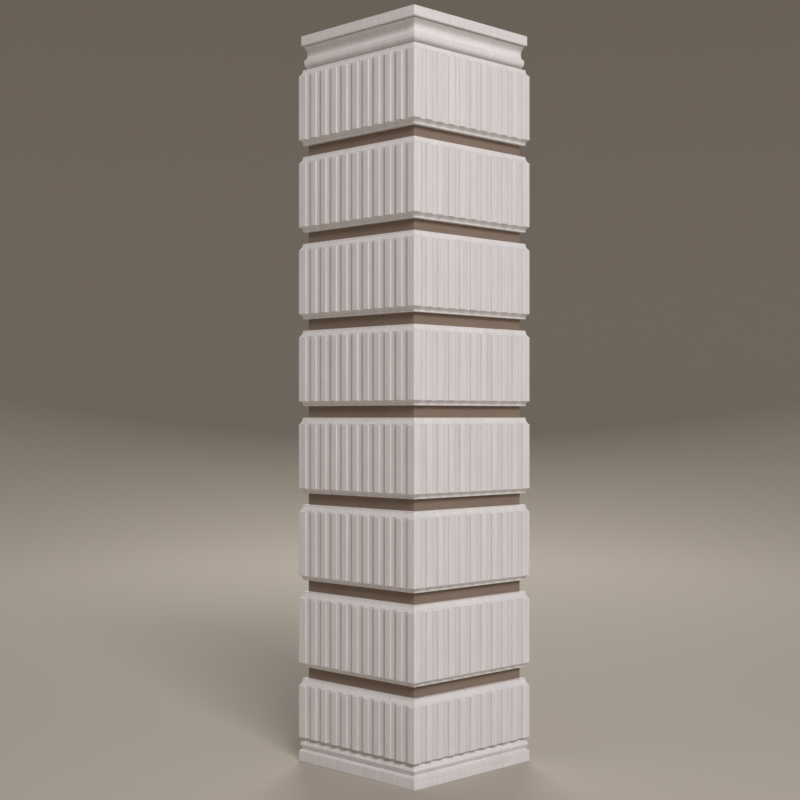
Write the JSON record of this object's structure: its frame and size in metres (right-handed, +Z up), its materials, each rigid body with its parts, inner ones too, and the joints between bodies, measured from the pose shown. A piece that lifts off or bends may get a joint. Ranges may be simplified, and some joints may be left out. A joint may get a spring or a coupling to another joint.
{
  "type": "fluted corner quoin",
  "caption": "L-shaped corner quoin, a storey high: fluted white blocks on a brown board, with a coved cap above and a plinth with a bead below.",
  "frame": {"origin": "on the floor, at the centre of the square that the two wings stand in", "axes": "+Z up; the left wing's ribbed face looks along -Y and the right wing's along +X, so the corner edge stands at +X, -Y and the building's corner comes in from -X, +Y"},
  "size_m": [0.54, 0.54, 2.4],
  "materials": {
    "white_paint": "rigid polyurethane moulding, brush painted matt white",
    "brown_paint": "board painted matt brown, the colour of the wall"
  },
  "bodies": {
    "root": {"cap_moulding": "white_paint", "quoin_block_1": "white_paint", "quoin_block_2": "white_paint", "quoin_block_3": "white_paint", "quoin_block_4": "white_paint", "quoin_block_5": "white_paint", "quoin_block_6": "white_paint", "quoin_block_7": "white_paint", "quoin_block_8": "white_paint", "base_moulding": "white_paint", "corner_board": "brown_paint"}
  },
  "joints": []
}
